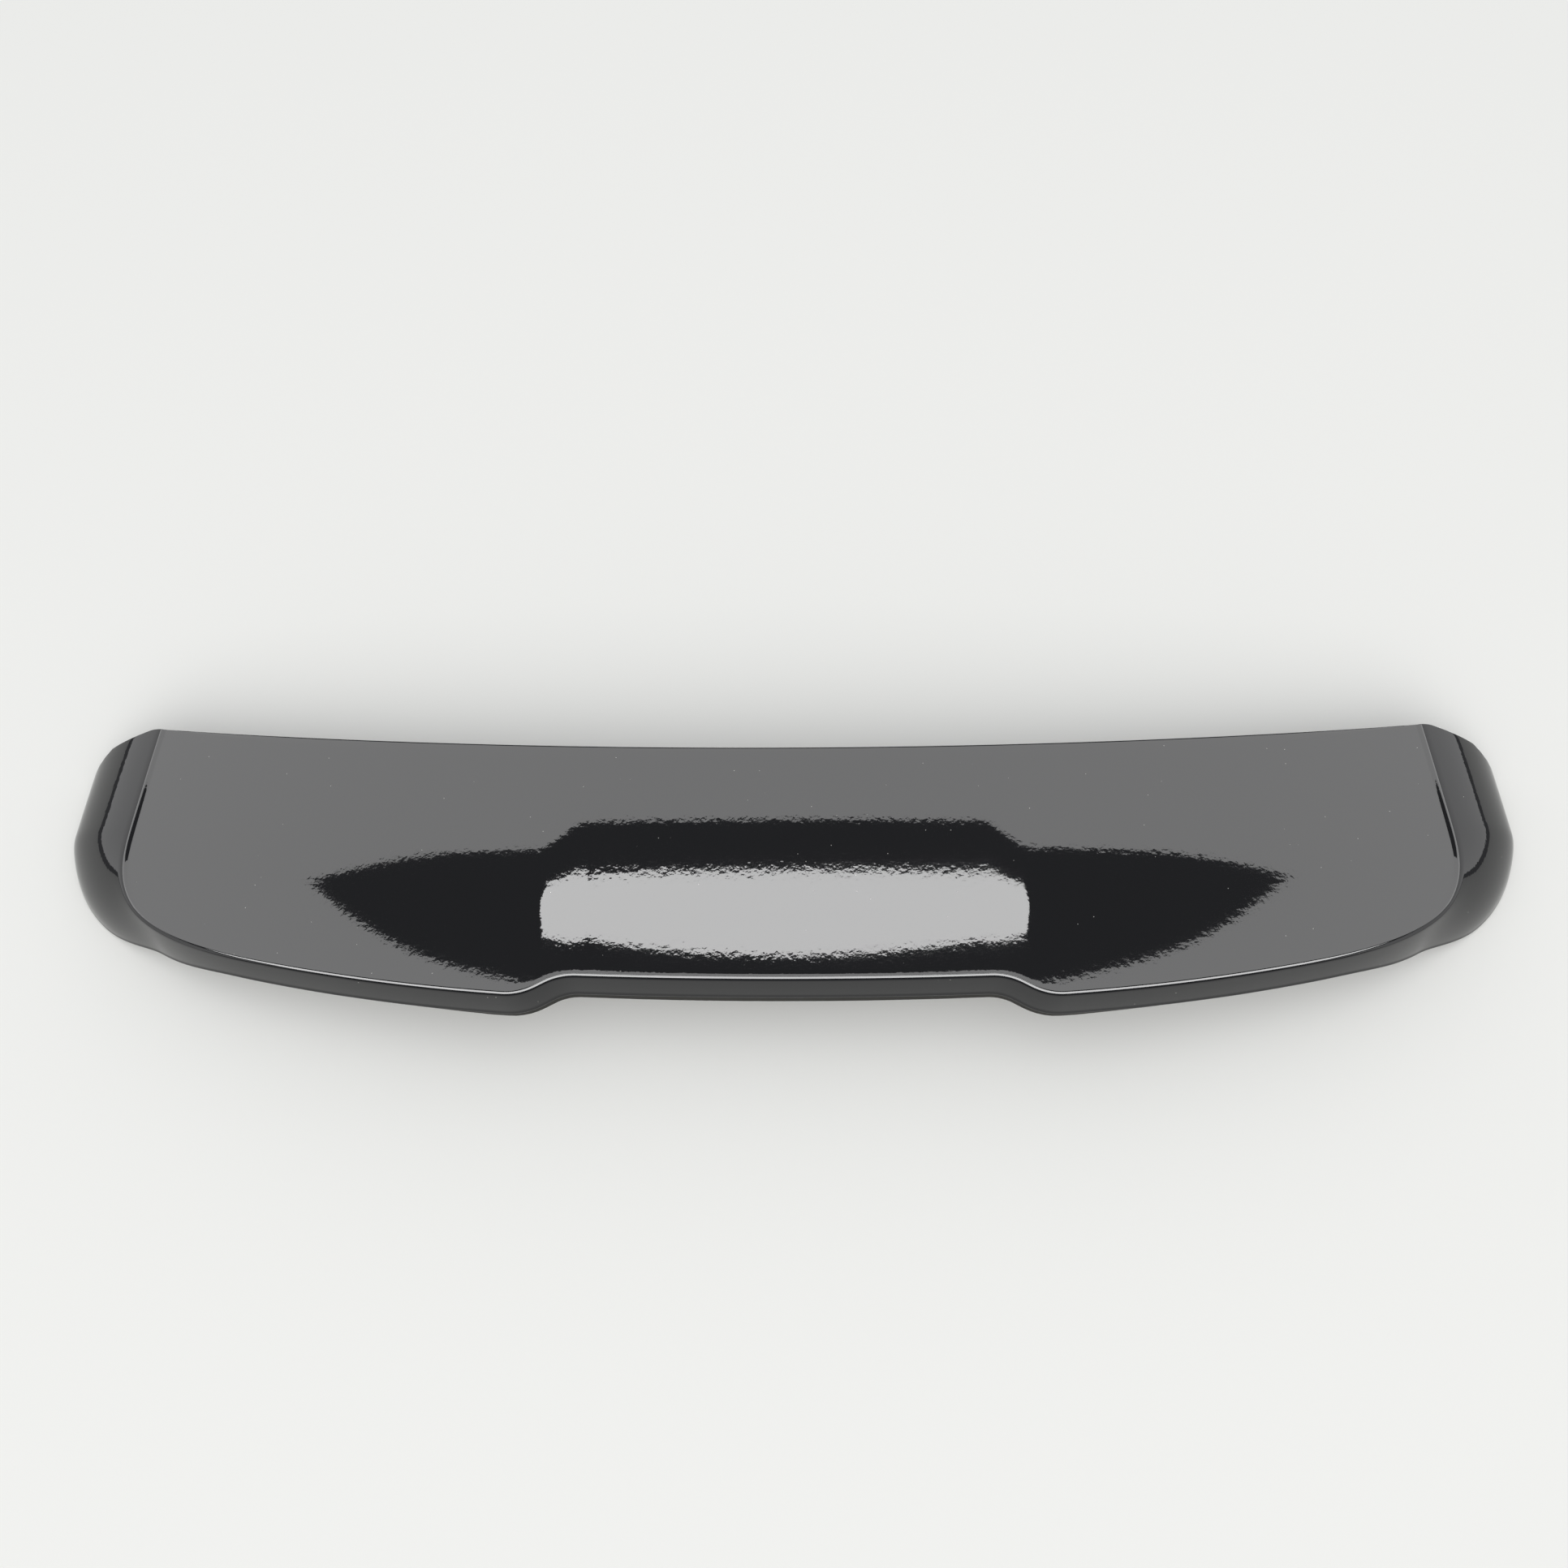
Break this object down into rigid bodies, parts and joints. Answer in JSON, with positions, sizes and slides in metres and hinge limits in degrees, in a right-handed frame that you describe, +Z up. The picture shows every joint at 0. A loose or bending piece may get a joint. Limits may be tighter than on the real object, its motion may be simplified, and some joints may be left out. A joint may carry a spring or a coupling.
{
  "type": "tailgate spoiler",
  "caption": "Gloss black moulded tailgate spoiler with a stepped top panel, notched trailing lip, rolled end wings and a studded mounting tray.",
  "frame": {"origin": "centre of the four main studs, on the plane where their bosses seat on the tailgate", "axes": "+X across the car, +Y towards the front of the car, +Z up, away from the tailgate"},
  "size_m": [1.194, 0.2418, 0.0894],
  "materials": {
    "gloss_skin": "polished black clear coat",
    "tray_plastic": "fine moulded grain",
    "adhesive": "cured polyurethane",
    "stud_steel": "zinc plated",
    "foam": "closed cell foam",
    "clip_steel": "phosphated spring steel",
    "felt": "needle felt"
  },
  "bodies": {
    "root": {"upper_shell": "gloss_skin", "lower_shell": "tray_plastic", "bond_bead": "adhesive", "mounting_studs": "stud_steel", "stud_seals": "foam", "wing_clips": "clip_steel", "front_seal": "foam", "wing_pads": "felt"}
  },
  "joints": []
}
